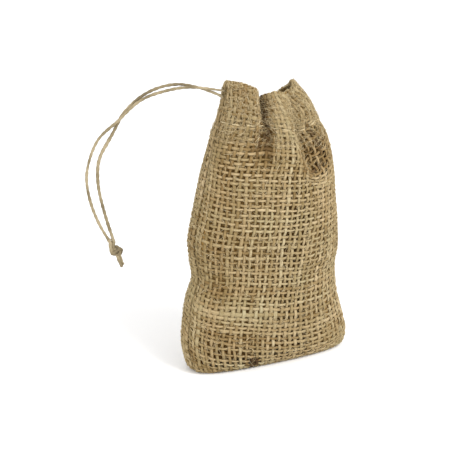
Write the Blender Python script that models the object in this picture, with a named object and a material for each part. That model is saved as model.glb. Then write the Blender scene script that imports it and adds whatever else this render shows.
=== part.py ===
"""Small drawstring sack of plain-woven jute, filled out and standing on its folded bottom.

The sack is one strip of cloth, folded at the bottom and sewn up both sides, so it is one hollow
shell, open at the top. At each height its outline is the distance of the cloth from the sack's
middle line in each direction: a blunt oval, less the folds, dents and seams at that height.
Directions are degrees seen from above: 0 is the left side (-X), 90 the front (-Y), 180 the right
side (+X) and 270 the back (+Y). The tables are in millimetres, the model is in metres.
"""

import math
from collections import namedtuple

import bmesh
import bpy
import numpy as np
from mathutils import Vector

MM = 0.001

# The sack, in millimetres from the surface that it stands on
SACK_HEIGHT = 121.0
STITCH_HEIGHT = 103.0  # the line that holds the casing down
CLOTH_THICKNESS = 1.4
CASING_THICKNESS = 2.3  # the cloth turned in on itself
CASING_STEP = 2.5  # height over which the wall grows to the casing's thickness
STEEPEST_SLOPE = 1.35  # limits how far the inner face moves in on a fold's flanks
SLOPE_REACH = 0.5  # degrees to each side over which the outline's slope is read
RIM_ROUNDING = 0.2  # height of the rim's rounded edge

# The side seams: a shallow groove down each side, turned a little towards the front on the left
SEAM_DEPTH = 0.6
SEAM_HALF_WIDTH = 1.3
SEAM_TURN = 4.5  # degrees, fading out between SEAM_TURN_TOP and the stitching
SEAM_TURN_TOP = 70.0

# The stitching runs lower on the right side than on the left, and so does the cloth below it
SKEW = 2.6
SKEW_START = 30.0
RIM_RISE_START = 96.0

# The slit in the left seam where the drawstring comes out of the casing
SLIT_HEIGHT = 115.6
SLIT_HALF_HEIGHT = 3.4
SLIT_HALF_WIDTH = 1.7
SLIT_DEPTH = 1.2
SLIT_SQUARENESS = 4  # how evenly deep the slit is along its height

# The drawstring
TWINE_DIAMETER = 1.3
TWINE_STEP = 3.2  # between the points along a run
TAIL_STEP = 1.6
TAIL_RADIUS = 0.58  # of the frayed ends below the knot
DRAWSTRING_TURN = 26.0  # degrees that it leans from -X towards the back

# Points around the sack and along the fine outline that they are read from
AROUND = 72
FINE = 720
CURVE_STEPS = 20  # places read between two points of a route
TUBE_SIDES = 8
TURN_POINTS = 16
CORE_SEGMENTS = 14
CORE_RINGS = 9
SHARP_EDGE = 50.0  # degrees between faces that meet in a crease
ASIDE = Vector((0.31, 0.83, 0.46))  # lies across every route of the knot

Level = namedtuple("Level", "height centre_x half_width half_depth bluntness")
LEVELS = (
    Level(0.0, 1.4, 33.4, 9.0, 2.9),
    Level(1.0, 1.5, 35.0, 10.3, 2.8),
    Level(3.0, 1.6, 36.2, 11.6, 2.6),
    Level(7.0, 1.2, 37.0, 12.8, 2.4),
    Level(13.0, 0.3, 37.1, 13.6, 2.2),
    Level(20.0, -0.3, 35.9, 14.4, 2.1),
    Level(28.0, -0.7, 34.3, 14.8, 2.1),
    Level(35.0, -0.2, 32.9, 14.7, 2.1),
    Level(40.0, 0.1, 32.6, 14.8, 2.1),
    Level(46.0, 0.3, 33.2, 15.3, 2.1),
    Level(54.0, 0.0, 33.3, 16.0, 2.1),
    Level(62.0, 0.5, 32.2, 16.3, 2.1),
    Level(70.0, 1.0, 30.9, 16.3, 2.1),
    Level(80.0, 1.8, 29.4, 16.0, 2.1),
    Level(90.0, 2.5, 27.2, 15.3, 2.1),
    Level(98.0, 2.4, 24.6, 14.4, 2.1),
    Level(103.0, 1.9, 22.4, 13.5, 2.1),
    Level(108.0, 1.2, 20.6, 12.8, 2.1),
    Level(114.0, 0.2, 18.6, 12.0, 2.1),
    Level(121.0, -0.8, 17.0, 11.4, 2.1),
)

# The gathers: each fold runs down from the rim, where the cloth is drawn in towards the middle
Fold = namedtuple("Fold", "rim_way foot_way rim_depth stitch_depth foot_height half_angle")
FOLDS = (
    Fold(64.0, 55.0, 5.2, 4.5, 80.0, 10.0),  # the deep crease left of the front's middle
    Fold(137.0, 122.0, 4.2, 2.6, 90.0, 10.0),  # the hollow that opens into the pocket
    Fold(203.0, 200.0, 2.6, 2.4, 86.0, 9.0),
    Fold(232.0, 226.0, 2.8, 2.7, 80.0, 9.0),
    Fold(263.0, 260.0, 2.7, 2.8, 74.0, 10.0),
    Fold(294.0, 300.0, 2.7, 2.6, 82.0, 9.0),
    Fold(330.0, 334.0, 2.4, 2.2, 88.0, 9.0),
)

# The rim's height above or below the sack's, in each direction
Rim = namedtuple("Rim", "way rise")
RIM = (
    Rim(0.0, 0.0),
    Rim(18.0, 1.1),
    Rim(30.0, 0.8),
    Rim(42.0, -0.4),
    Rim(54.0, -2.2),
    Rim(62.0, -6.4),
    Rim(70.0, -4.9),
    Rim(77.0, -3.5),
    Rim(86.0, -3.0),
    Rim(102.0, -3.3),
    Rim(117.0, -5.3),
    Rim(130.0, -6.4),
    Rim(142.0, -4.9),
    Rim(152.0, -3.2),
    Rim(162.0, -1.9),
    Rim(172.0, -1.5),
    Rim(192.0, -4.1),
    Rim(204.0, -6.6),
    Rim(215.0, -9.2),
    Rim(232.0, -10.8),
    Rim(247.0, -12.4),
    Rim(263.0, -11.4),
    Rim(279.0, -9.0),
    Rim(295.0, -9.4),
    Rim(312.0, -7.0),
    Rim(330.0, -6.4),
    Rim(346.0, -2.8),
)

# Soft dents, and bulges where the depth is below zero
Dent = namedtuple("Dent", "way height half_angle half_height depth")
DENTS = (
    Dent(144.0, 88.0, 20.0, 11.0, 2.6),  # the pocket under the right shoulder
    Dent(114.0, 84.0, 12.0, 14.0, -0.8),  # the ridge that borders it
    Dent(168.0, 122.0, 28.0, 6.5, 4.3),  # the right end of the rim, drawn in to a point
    Dent(60.0, 60.0, 30.0, 18.0, -0.8),
    Dent(95.0, 24.0, 45.0, 12.0, -0.7),
    Dent(355.0, 37.5, 30.0, 4.0, 0.6),  # the waist above the settled filling
    Dent(30.0, 40.0, 30.0, 5.0, 0.8),
    Dent(150.0, 41.0, 30.0, 5.0, 0.7),
    Dent(235.0, 40.0, 30.0, 5.0, 0.6),
    Dent(270.0, 52.0, 40.0, 24.0, -0.9),
)

# Creases run through their rows: a soft trough, or a ridge where the depth is below zero
Crease = namedtuple("Crease", "way height depth half_width")
POCKET_TROUGH = (  # right of the ridge
    Crease(128.0, 108.0, 0.6, 3.0),
    Crease(123.0, 101.0, 1.6, 3.0),
    Crease(121.0, 96.0, 2.2, 3.0),
    Crease(125.0, 91.5, 2.4, 3.0),
    Crease(138.0, 89.0, 1.8, 3.0),
    Crease(153.0, 88.0, 0.6, 3.0),
)
POCKET_RIDGE = (  # from the rim down round the pocket
    Crease(108.0, 118.0, -0.7, 2.4),
    Crease(102.0, 110.0, -0.9, 2.4),
    Crease(100.0, 104.0, -1.0, 2.6),
    Crease(107.0, 98.0, -1.1, 2.8),
    Crease(113.0, 92.0, -1.1, 3.0),
    Crease(122.0, 86.5, -1.0, 3.2),
    Crease(142.0, 83.5, -0.8, 3.4),
    Crease(158.0, 82.0, -0.3, 3.4),
)
CREASES = (POCKET_TROUGH, POCKET_RIDGE)

# Heights of the rings of points, close together where the form turns quickly
OUTER_RINGS = (
    0.0, 1.0, 2.6, 5.0, 8.5, 13.0, 19.0, 25.0, 30.0, 34.0, 37.5, 41.0, 45.0, 50.0, 56.0, 62.0,
    68.0, 73.5, 78.5, 83.0, 87.0, 91.0, 94.5, 97.5, 100.0, 101.8, 103.0, 104.2, 106.0, 108.5,
    111.0, 113.4, 115.6, 117.6, 119.2, 120.4,
)
INNER_RINGS = (
    0.0, 2.6, 8.5, 19.0, 30.0, 37.5, 45.0, 56.0, 68.0, 78.5, 87.0, 94.5, 100.0, 102.0, 104.0,
    106.5, 109.5, 112.5, 115.6, 118.4, 120.4,
)

# The two runs of the drawstring: the distance out from the slit, the height, and how far the run
# lies in front of the plane that both hang in
Place = namedtuple("Place", "out height front")
UPPER_RUN = (
    Place(0.8, 116.9, 0.0),
    Place(4.9, 117.6, 0.4),
    Place(10.4, 118.4, 0.9),
    Place(16.4, 118.5, 0.9),
    Place(21.1, 117.7, 0.6),
    Place(26.1, 116.3, 0.3),
    Place(30.1, 114.9, 0.2),
    Place(33.6, 113.1, 0.3),
    Place(36.8, 110.7, 0.5),
    Place(40.0, 107.6, 0.8),
    Place(42.9, 104.6, 0.9),
    Place(46.1, 101.8, 0.7),
    Place(48.8, 99.2, 0.3),
    Place(51.1, 96.2, 0.0),
    Place(53.2, 91.8, 0.0),
    Place(54.9, 86.4, 0.0),
    Place(55.7, 81.4, 0.0),
    Place(55.5, 76.2, 0.0),
    Place(54.4, 70.4, 0.0),
    Place(52.7, 64.9, 0.0),
    Place(50.4, 59.5, 0.1),
    Place(47.1, 53.7, 0.4),
)
LOWER_RUN = (
    Place(1.4, 114.4, 0.0),
    Place(4.9, 115.9, -0.4),
    Place(10.4, 117.8, -0.9),
    Place(16.4, 119.1, -0.9),
    Place(20.3, 119.3, -0.6),
    Place(24.1, 118.8, -0.3),
    Place(28.1, 117.5, -0.2),
    Place(31.6, 115.7, -0.3),
    Place(34.8, 113.4, -0.5),
    Place(38.0, 110.4, -0.8),
    Place(40.8, 107.1, -0.9),
    Place(42.8, 103.6, -0.8),
    Place(44.7, 99.8, -0.4),
    Place(47.5, 94.9, 0.0),
    Place(49.5, 91.2, 0.0),
    Place(50.8, 87.4, 0.0),
    Place(51.3, 83.1, 0.0),
    Place(51.2, 78.0, 0.0),
    Place(50.5, 72.9, 0.0),
    Place(49.3, 67.4, 0.0),
    Place(47.7, 61.0, -0.1),
    Place(45.6, 53.7, -0.4),
)

# The overhand knot: a core, two turns round it and two short tails
KNOT_OUT = 44.8
KNOT_HEIGHT = 50.2
KNOT_HALF_SIZES = (2.0, 1.8, 2.3)
TAIL_ROOT = 0.4  # share of a tail's spread at its root
TAIL_SAG = 0.4
Turn = namedtuple("Turn", "radius height lean_x lean_y")
KNOT_TURNS = (
    Turn(1.75, 0.75, 24.0, -20.0),
    Turn(1.75, -0.75, -22.0, 16.0),
)
Tail = namedtuple("Tail", "start_out start_drop end_out end_drop front")
KNOT_TAILS = (
    Tail(44.7, 1.2, 42.7, 7.6, 0.5),
    Tail(44.3, 1.2, 41.7, 6.4, -0.6),
)

# Name: base colour, roughness
FINISHES = {
    "jute_cloth": ((0.47, 0.34, 0.19), 0.92),
    "jute_twine": ((0.60, 0.46, 0.29), 0.85),
}


def clear_scene():
    """Remove every object, so that only the sack is left."""
    for item in list(bpy.data.objects):
        bpy.data.objects.remove(item, do_unlink=True)


def finish(name):
    """The material of that name, made on first use."""
    found = bpy.data.materials.get(name)
    if found:
        return found
    colour, roughness = FINISHES[name]
    made = bpy.data.materials.new(name)
    made.use_nodes = True
    shader = made.node_tree.nodes["Principled BSDF"]
    shader.inputs["Base Color"].default_value = (*colour, 1.0)
    shader.inputs["Roughness"].default_value = roughness
    shader.inputs["Metallic"].default_value = 0.0
    return made


def blend(low, high, value):
    """0 up to low, 1 from high on, and an even curve between them."""
    share = min(max((value - low) / (high - low), 0.0), 1.0)
    return share * share * (3.0 - 2.0 * share)


def read(rows, column, height):
    """A column of a table at a height, on the smooth curve through its rows."""
    heights = np.array([row.height for row in rows])
    values = np.array([getattr(row, column) for row in rows])
    slopes = np.gradient(values, heights)
    k = int(np.clip(np.searchsorted(heights, height) - 1, 0, len(rows) - 2))
    span = heights[k + 1] - heights[k]
    t = (height - heights[k]) / span
    start = values[k] * (1.0 + 2.0 * t) * (1.0 - t) ** 2 + slopes[k] * span * t * (1.0 - t) ** 2
    end = values[k + 1] * t * t * (3.0 - 2.0 * t) + slopes[k + 1] * span * t * t * (t - 1.0)
    return start + end


def turn_between(ways, way):
    """The angle from way to each of ways, from -180 to 180 degrees."""
    return (ways - way + 180.0) % 360.0 - 180.0


def fold_depth(fold, height):
    """How deep a fold is at a height."""
    if height >= STITCH_HEIGHT:
        share = (height - STITCH_HEIGHT) / (SACK_HEIGHT - STITCH_HEIGHT)
        return fold.stitch_depth + (fold.rim_depth - fold.stitch_depth) * share
    return fold.stitch_depth * blend(fold.foot_height, STITCH_HEIGHT, height)


def fold_way(fold, height):
    """The direction that a fold lies in at a height."""
    share = (height - fold.foot_height) / (SACK_HEIGHT - fold.foot_height)
    return fold.foot_way + (fold.rim_way - fold.foot_way) * min(max(share, 0.0), 1.0)


def seam_way(height):
    """The direction of the left side seam at a height."""
    return SEAM_TURN * (1.0 - blend(SEAM_TURN_TOP, STITCH_HEIGHT, height))


def crease_depth(crease, ways, height, away):
    """How deep a crease is in each direction at a height, by the nearest place along it."""
    deepest = np.zeros(len(ways))
    for start, end in zip(crease, crease[1:]):
        x, y = np.radians(turn_between(ways, start.way)) * away, height - start.height
        run_x, run_y = math.radians(end.way - start.way) * away, end.height - start.height
        share = np.clip((x * run_x + y * run_y) / (run_x**2 + run_y**2), 0.0, 1.0)
        gap = np.hypot(x - share * run_x, y - share * run_y)
        half_width = start.half_width + (end.half_width - start.half_width) * share
        depth = (start.depth + (end.depth - start.depth) * share) * np.exp(-((gap / half_width) ** 2))
        deepest = np.where(np.abs(depth) > np.abs(deepest), depth, deepest)
    return deepest


def distances(ways, height):
    """How far the outer face stands from the middle line in each direction at a height."""
    radians = np.radians(ways)
    half_width = read(LEVELS, "half_width", height)
    half_depth = read(LEVELS, "half_depth", height)
    power = read(LEVELS, "bluntness", height)
    across = (np.abs(np.cos(radians)) / half_width) ** power
    deep = (np.abs(np.sin(radians)) / half_depth) ** power
    away = (across + deep) ** (-1.0 / power)
    for fold in FOLDS:
        turn = turn_between(ways, fold_way(fold, height))
        away -= fold_depth(fold, height) * np.exp(-((turn / fold.half_angle) ** 2))
    for dent in DENTS:
        turn = turn_between(ways, dent.way) / dent.half_angle
        rise = (height - dent.height) / dent.half_height
        away -= dent.depth * np.exp(-(turn**2) - rise**2)
    for crease in CREASES:
        away = away - crease_depth(crease, ways, height, away)
    slit = SLIT_DEPTH * math.exp(-(((height - SLIT_HEIGHT) / SLIT_HALF_HEIGHT) ** SLIT_SQUARENESS))
    for way in (seam_way(height), seam_way(height) + 180.0):
        sideways = np.radians(turn_between(ways, way)) * away
        away -= SEAM_DEPTH * np.exp(-((sideways / SEAM_HALF_WIDTH) ** 2))
    sideways = np.radians(turn_between(ways, 0.0)) * away
    return away - slit * np.exp(-((sideways / SLIT_HALF_WIDTH) ** 2))


def wall_thickness(height):
    """The cloth's thickness, single below the stitching and turned in above it."""
    share = blend(STITCH_HEIGHT - CASING_STEP, STITCH_HEIGHT, height)
    return CLOTH_THICKNESS + (CASING_THICKNESS - CLOTH_THICKNESS) * share


def rim_rise(ways):
    """The rim's height above or below the sack's, on the smooth curve through the table."""
    rows = [Rim(row.way + turn, row.rise) for turn in (-360.0, 0.0, 360.0) for row in RIM]
    table = np.array(rows)
    slopes = np.gradient(table[:, 1], table[:, 0])
    ways = ways % 360.0
    k = np.searchsorted(table[:, 0], ways) - 1
    span = table[k + 1, 0] - table[k, 0]
    t = (ways - table[k, 0]) / span
    start = table[k, 1] * (1.0 + 2.0 * t) + slopes[k] * span * t
    end = table[k + 1, 1] * (3.0 - 2.0 * t) - slopes[k + 1] * span * (1.0 - t)
    return start * (1.0 - t) ** 2 + end * t**2


def rises(ways, height):
    """How far the cloth stands above or below its even height in each direction."""
    at_rim = rim_rise(ways) * blend(RIM_RISE_START, SACK_HEIGHT, height)
    skewed = blend(0.0, SKEW_START, height) * (1.0 - blend(STITCH_HEIGHT, SACK_HEIGHT, height))
    return at_rim + SKEW * skewed * np.cos(np.radians(ways))


def even_ways(height):
    """The directions of the points of a ring, spaced evenly along the cloth."""
    ways = seam_way(height) + np.linspace(0.0, 360.0, FINE + 1)
    away = distances(ways, height)
    x, y = away * np.cos(np.radians(ways)), away * np.sin(np.radians(ways))
    steps = np.hypot(np.diff(x), np.diff(y))
    along = np.concatenate(([0.0], np.cumsum(steps)))
    return np.interp(np.arange(AROUND) / AROUND * along[-1], along, ways)


def ring(height, inside):
    """The points of the outer or the inner face at a height, in metres."""
    ways = even_ways(height)
    away = distances(ways, height)
    z = height + rises(ways, height)
    if inside:
        change = distances(ways + SLOPE_REACH, height) - distances(ways - SLOPE_REACH, height)
        change = change / math.radians(2 * SLOPE_REACH)
        slope = np.minimum(np.hypot(1.0, change / away), STEEPEST_SLOPE)
        away = away - wall_thickness(height) * slope
        z = z + CLOTH_THICKNESS * (1.0 - height / SACK_HEIGHT)
    x = read(LEVELS, "centre_x", height) - away * np.cos(np.radians(ways))
    y = -away * np.sin(np.radians(ways))
    return [Vector((px, py, pz)) * MM for px, py, pz in zip(x, y, z)]


def rim_crest():
    """The top of the turned-over edge, midway between the two faces."""
    outer = ring(SACK_HEIGHT - RIM_ROUNDING, inside=False)
    inner = ring(SACK_HEIGHT - RIM_ROUNDING, inside=True)
    lift = Vector((0.0, 0.0, RIM_ROUNDING * MM))
    return [(a + b) / 2 + lift for a, b in zip(outer, inner)]


def link(name, mesh, material):
    """A new object in the scene with its own material."""
    item = bpy.data.objects.new(name, mesh)
    bpy.context.scene.collection.objects.link(item)
    mesh.materials.append(finish(material))
    return item


def make_sack():
    """The cloth: outer face, rim and inner face in one closed skin."""
    rings = [ring(height, inside=False) for height in OUTER_RINGS]
    rings.append(rim_crest())
    rings += [ring(height, inside=True) for height in reversed(INNER_RINGS)]
    shape = bmesh.new()
    rows = [[shape.verts.new(point) for point in points] for points in rings]
    for low, high in zip(rows, rows[1:]):
        for i in range(AROUND):
            j = (i + 1) % AROUND
            shape.faces.new((low[j], low[i], high[i], high[j]))
    shape.faces.new(rows[0])
    shape.faces.new(list(reversed(rows[-1])))
    bmesh.ops.recalc_face_normals(shape, faces=shape.faces)
    mesh = bpy.data.meshes.new("sack")
    shape.to_mesh(mesh)
    shape.free()
    mesh.shade_smooth()
    mesh.set_sharp_from_angle(angle=math.radians(SHARP_EDGE))
    return link("sack", mesh, "jute_cloth")


def slit_point():
    """The middle of the slit's mouth on the outer face."""
    away = distances(np.array([0.0]), SLIT_HEIGHT)[0]
    x = read(LEVELS, "centre_x", SLIT_HEIGHT) - away
    return Vector((x, 0.0, 0.0))


def hanging_point(out, height, front):
    """A place beside the sack, in the upright plane that the drawstring hangs in."""
    turn = math.radians(DRAWSTRING_TURN)
    outward = Vector((-math.cos(turn), math.sin(turn), 0.0))
    forward = Vector((-math.sin(turn), -math.cos(turn), 0.0))
    return (slit_point() + outward * out + forward * front + Vector((0.0, 0.0, height))) * MM


def smooth_route(points, step):
    """Points at even steps on the smooth curve through the given ones."""
    ends = [2 * points[0] - points[1], *points, 2 * points[-1] - points[-2]]
    fine = []
    for a, b, c, d in zip(ends, ends[1:], ends[2:], ends[3:]):
        for t in np.arange(CURVE_STEPS) / CURVE_STEPS:
            curve = 2 * b + (c - a) * t + (2 * a - 5 * b + 4 * c - d) * t**2
            fine.append((curve + (3 * b - a - 3 * c + d) * t**3) / 2)
    fine.append(points[-1])
    along = np.cumsum([0.0] + [(q - p).length for p, q in zip(fine, fine[1:])])
    count = max(2, round(along[-1] / step) + 1)
    wanted = np.linspace(0.0, along[-1], count)
    columns = [np.interp(wanted, along, [point[k] for point in fine]) for k in range(3)]
    return [Vector(place) for place in zip(*columns)]


def make_run(name, places):
    """One run of the twine, a round tube along its route."""
    route = smooth_route([hanging_point(*place) for place in places], TWINE_STEP * MM)
    curve = bpy.data.curves.new(name, "CURVE")
    curve.dimensions = "3D"
    curve.bevel_depth = TWINE_DIAMETER / 2 * MM
    curve.bevel_resolution = 2
    curve.use_fill_caps = True
    spline = curve.splines.new("POLY")
    spline.points.add(len(route) - 1)
    for point, place in zip(spline.points, route):
        point.co = (*place, 1.0)
    return link(name, curve, "jute_twine")


def tube(points, radius, closed):
    """A tube as a mesh, round a closed route or between two flat ends."""
    shape = bmesh.new()
    count = len(points)
    rows = []
    for i, point in enumerate(points):
        before = points[(i - 1) % count] if closed or i > 0 else point
        after = points[(i + 1) % count] if closed or i < count - 1 else point
        way = (after - before).normalized()
        side = way.cross(ASIDE).normalized()
        other = way.cross(side)
        angles = [2 * math.pi * k / TUBE_SIDES for k in range(TUBE_SIDES)]
        rows.append(
            [shape.verts.new(point + radius * (math.cos(a) * side + math.sin(a) * other)) for a in angles]
        )
    pairs = list(zip(rows, rows[1:]))
    if closed:
        pairs.append((rows[-1], rows[0]))
    for low, high in pairs:
        for k in range(TUBE_SIDES):
            m = (k + 1) % TUBE_SIDES
            shape.faces.new((low[k], low[m], high[m], high[k]))
    if not closed:
        shape.faces.new(list(reversed(rows[0])))
        shape.faces.new(rows[-1])
    bmesh.ops.recalc_face_normals(shape, faces=shape.faces)
    mesh = bpy.data.meshes.new("tube")
    shape.to_mesh(mesh)
    shape.free()
    return mesh


def guide(name, mesh):
    """A hidden shape that is joined to another."""
    item = bpy.data.objects.new(name, mesh)
    bpy.context.scene.collection.objects.link(item)
    item.hide_render = True
    item.display_type = "WIRE"
    return item


def knot_turn(middle, row):
    """One turn of the twine round the knot's core."""
    lean = (math.radians(row.lean_x), math.radians(row.lean_y))
    points = []
    for k in range(TURN_POINTS):
        angle = 2 * math.pi * k / TURN_POINTS
        x, y = row.radius * math.cos(angle), row.radius * math.sin(angle)
        z = row.height + x * math.tan(lean[0]) + y * math.tan(lean[1])
        points.append(middle + Vector((x, y, z)) * MM)
    return tube(points, TWINE_DIAMETER / 2 * MM, closed=True)


def knot_tail(row):
    """One of the twine's free ends below the knot."""
    start = hanging_point(row.start_out, KNOT_HEIGHT - row.start_drop, row.front * TAIL_ROOT)
    end = hanging_point(row.end_out, KNOT_HEIGHT - row.end_drop, row.front)
    middle = (start + end) / 2 - Vector((0.0, 0.0, TAIL_SAG * MM))
    route = smooth_route([start, middle, end], TAIL_STEP * MM)
    return tube(route, TAIL_RADIUS * MM, closed=False)


def make_knot():
    """The knot and its tails, joined into one body."""
    middle = hanging_point(KNOT_OUT, KNOT_HEIGHT, 0.0)
    shape = bmesh.new()
    bmesh.ops.create_uvsphere(shape, u_segments=CORE_SEGMENTS, v_segments=CORE_RINGS, radius=1.0)
    for vertex in shape.verts:
        sized = Vector([a * b for a, b in zip(vertex.co, KNOT_HALF_SIZES)])
        vertex.co = middle + sized * MM
    mesh = bpy.data.meshes.new("drawstring_knot")
    shape.to_mesh(mesh)
    shape.free()
    mesh.shade_smooth()
    knot = link("drawstring_knot", mesh, "jute_twine")
    pieces = [knot_turn(middle, row) for row in KNOT_TURNS] + [knot_tail(row) for row in KNOT_TAILS]
    for number, piece in enumerate(pieces):
        joint = knot.modifiers.new(f"piece_{number}", "BOOLEAN")
        joint.operation = "UNION"
        joint.object = guide(f"knot_piece_{number}", piece)
    return knot


def main():
    clear_scene()
    make_sack()
    make_run("drawstring_upper", UPPER_RUN)
    make_run("drawstring_lower", LOWER_RUN)
    make_knot()


main()
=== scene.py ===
"""Looks of a small drawstring sack of plain-woven jute, woven yarn by yarn on the sack's form.

The sack's form is the part's own: at each height the cloth's distance from the middle line in each
direction. Directions are degrees seen from above: 0 is the left side (-X), 90 the front (-Y), 180
the right side (+X) and 270 the back (+Y). Tables are in millimetres, the scene is in metres.
"""

import math
from collections import namedtuple

import bpy
import numpy as np
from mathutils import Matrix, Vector


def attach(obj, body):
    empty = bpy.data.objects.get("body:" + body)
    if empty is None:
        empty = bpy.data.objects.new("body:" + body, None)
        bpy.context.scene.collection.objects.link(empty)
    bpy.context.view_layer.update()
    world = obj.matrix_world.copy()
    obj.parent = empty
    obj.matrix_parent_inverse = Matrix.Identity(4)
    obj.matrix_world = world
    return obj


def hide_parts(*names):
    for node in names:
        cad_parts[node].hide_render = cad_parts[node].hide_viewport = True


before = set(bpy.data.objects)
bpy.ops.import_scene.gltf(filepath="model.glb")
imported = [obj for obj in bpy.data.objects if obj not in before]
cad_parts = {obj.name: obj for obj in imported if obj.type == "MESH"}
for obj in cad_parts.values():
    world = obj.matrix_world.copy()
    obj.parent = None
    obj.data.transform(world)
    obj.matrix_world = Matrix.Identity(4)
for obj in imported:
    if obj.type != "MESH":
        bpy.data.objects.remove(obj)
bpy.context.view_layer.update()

MM = 0.001
UP = np.array([0.0, 0.0, 1.0])

# ---- the sack's form, as in the part

SACK_HEIGHT = 121.0
STITCH_HEIGHT = 103.0  # of the stitching that closes the casing
SEAM_DEPTH = 0.6
SEAM_HALF_WIDTH = 1.3
SEAM_TURN = 4.5  # degrees that the side seams are turned by, up to the height below
SEAM_TURN_TOP = 70.0
SKEW = 2.6  # how much higher the cloth lies at the left, and lower at the right
SKEW_START = 30.0
RIM_RISE_START = 96.0
SLIT_HEIGHT = 115.6
SLIT_HALF_HEIGHT = 3.4
SLIT_HALF_WIDTH = 1.7
SLIT_DEPTH = 1.2
TWINE_DIAMETER = 1.3
DRAWSTRING_TURN = 26.0  # degrees from straight left towards the back


def table(row_type, *rows):
    """Rows of numbers with their columns' names."""
    return [row_type(*row) for row in rows]


Level = namedtuple("Level", "height centre_x half_width half_depth bluntness")
LEVELS = table(
    Level,
    (0, 1.4, 33.4, 9, 2.9), (1, 1.5, 35, 10.3, 2.8), (3, 1.6, 36.2, 11.6, 2.6),
    (7, 1.2, 37, 12.8, 2.4), (13, 0.3, 37.1, 13.6, 2.2), (20, -0.3, 35.9, 14.4, 2.1),
    (28, -0.7, 34.3, 14.8, 2.1), (35, -0.2, 32.9, 14.7, 2.1), (40, 0.1, 32.6, 14.8, 2.1),
    (46, 0.3, 33.2, 15.3, 2.1), (54, 0, 33.3, 16, 2.1), (62, 0.5, 32.2, 16.3, 2.1),
    (70, 1, 30.9, 16.3, 2.1), (80, 1.8, 29.4, 16, 2.1), (90, 2.5, 27.2, 15.3, 2.1),
    (98, 2.4, 24.6, 14.4, 2.1), (103, 1.9, 22.4, 13.5, 2.1), (108, 1.2, 20.6, 12.8, 2.1),
    (114, 0.2, 18.6, 12, 2.1), (121, -0.8, 17, 11.4, 2.1),
)

Fold = namedtuple("Fold", "rim_way foot_way rim_depth stitch_depth foot_height half_angle")
FOLDS = table(
    Fold,
    (64, 55, 5.2, 4.5, 80, 10), (137, 122, 4.2, 2.6, 90, 10),
    (203, 200, 2.6, 2.4, 86, 9), (232, 226, 2.8, 2.7, 80, 9),
    (263, 260, 2.7, 2.8, 74, 10), (294, 300, 2.7, 2.6, 82, 9),
    (330, 334, 2.4, 2.2, 88, 9),
)

Rim = namedtuple("Rim", "way rise")
RIM = table(
    Rim,
    (0, 0), (18, 1.1), (30, 0.8), (42, -0.4), (54, -2.2),
    (62, -6.4), (70, -4.9), (77, -3.5), (86, -3), (102, -3.3),
    (117, -5.3), (130, -6.4), (142, -4.9), (152, -3.2), (162, -1.9),
    (172, -1.5), (192, -4.1), (204, -6.6), (215, -9.2), (232, -10.8),
    (247, -12.4), (263, -11.4), (279, -9), (295, -9.4), (312, -7),
    (330, -6.4), (346, -2.8),
)

Dent = namedtuple("Dent", "way height half_angle half_height depth")
DENTS = table(
    Dent,
    (144, 88, 20, 11, 2.6), (114, 84, 12, 14, -0.8),
    (168, 122, 28, 6.5, 4.3), (60, 60, 30, 18, -0.8),
    (95, 24, 45, 12, -0.7), (355, 37.5, 30, 4, 0.6),
    (30, 40, 30, 5, 0.8), (150, 41, 30, 5, 0.7),
    (235, 40, 30, 5, 0.6), (270, 52, 40, 24, -0.9),
)

# Creases run through their rows: a soft trough, or a ridge where the depth is below zero
Crease = namedtuple("Crease", "way height depth half_width")
POCKET_TROUGH = table(
    Crease,
    (128, 108, 0.6, 3), (123, 101, 1.6, 3), (121, 96, 2.2, 3),
    (125, 91.5, 2.4, 3), (138, 89, 1.8, 3), (153, 88, 0.6, 3),
)
POCKET_RIDGE = table(
    Crease,
    (108, 118, -0.7, 2.4), (102, 110, -0.9, 2.4), (100, 104, -1, 2.6),
    (107, 98, -1.1, 2.8), (113, 92, -1.1, 3), (122, 86.5, -1, 3.2),
    (142, 83.5, -0.8, 3.4), (158, 82, -0.3, 3.4),
)
CREASES = (POCKET_TROUGH, POCKET_RIDGE)

# ---- the weave

WARPS = 34  # threads across one face
WALL_TOP = 119.9  # where the cloth starts to turn over at the rim
LAYER_DEPTH = 0.62  # of the outer layer's middle below the outer face
TURN_RADIUS = 0.56  # of the rim, to the middle of the cloth
HEM_LENGTH = 18.6  # of the cloth turned in behind the casing
CRIMP = 0.29  # how far a thread swings to each side of the cloth's middle
THREAD_WIDE = 0.62  # half the usual width
THREAD_THICK = 0.28
PER_CROSSING = 3.85  # rings of points from one crossing to the next
SIDES = 6
SEAM_ALLOWANCE = 2.4
ROW_STEP = 0.5  # between the heights that the form is read at
COLUMNS = 360
FINE = 720

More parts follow.
